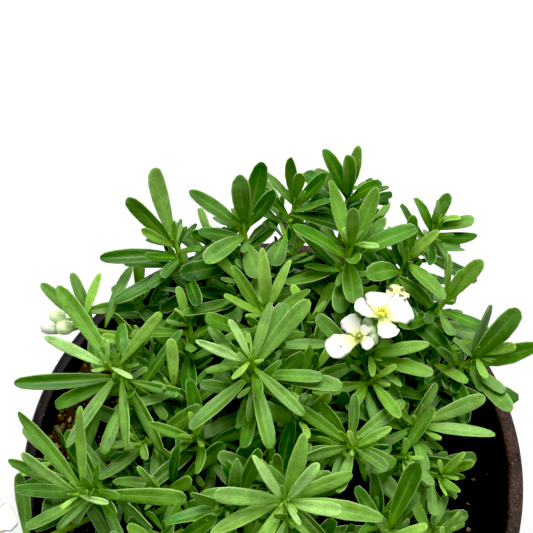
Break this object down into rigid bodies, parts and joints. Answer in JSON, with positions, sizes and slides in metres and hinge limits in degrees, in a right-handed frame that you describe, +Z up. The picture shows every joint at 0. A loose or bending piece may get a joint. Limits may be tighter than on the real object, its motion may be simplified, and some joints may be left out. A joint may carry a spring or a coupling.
{
  "type": "potted candytuft",
  "caption": "Round nursery pot filled with moist mix, holding a low leafy candytuft with a few white flowers and buds.",
  "frame": {"origin": "centre of the pot's underside, on the plane that it stands on", "axes": "+Z up through the pot's axis, -Y towards the side that is looked at from, +X to its right"},
  "size_m": [0.1789, 0.1753, 0.2397],
  "materials": {
    "pot": "matt, dusty rim",
    "potting_mix": "moist and crumbly",
    "leaf": "waxy satin",
    "petal": "soft matt",
    "bud": "soft satin"
  },
  "bodies": {
    "root": {"buds_01": "bud", "buds_02": "bud", "floret_01": "petal", "floret_02": "petal", "floret_03": "petal", "floret_04": "petal", "floret_05": "petal", "floret_06": "petal", "pot": "pot", "potting_mix": "potting_mix", "stem_01_centre": "leaf", "stem_02_near_centre": "leaf", "stem_03_far_centre": "leaf", "stem_04_far_left_top": "leaf", "stem_05_far_left": "leaf", "stem_06_left": "leaf", "stem_07_near_left": "leaf", "stem_08_far_right": "leaf", "stem_09_right_edge": "leaf", "stem_10_right": "leaf", "stem_11_flower": "leaf", "stem_12_right_middle": "leaf", "stem_13_near_right_low": "leaf", "stem_14_fill_03": "leaf", "stem_15_fill_04": "leaf", "stem_16_fill_11": "leaf", "stem_17_fill_12": "leaf", "stem_18_fill_13": "leaf", "stem_19_fill_21": "leaf", "stem_20_fill_22": "leaf", "stem_21_fill_23": "leaf"}
  },
  "joints": []
}
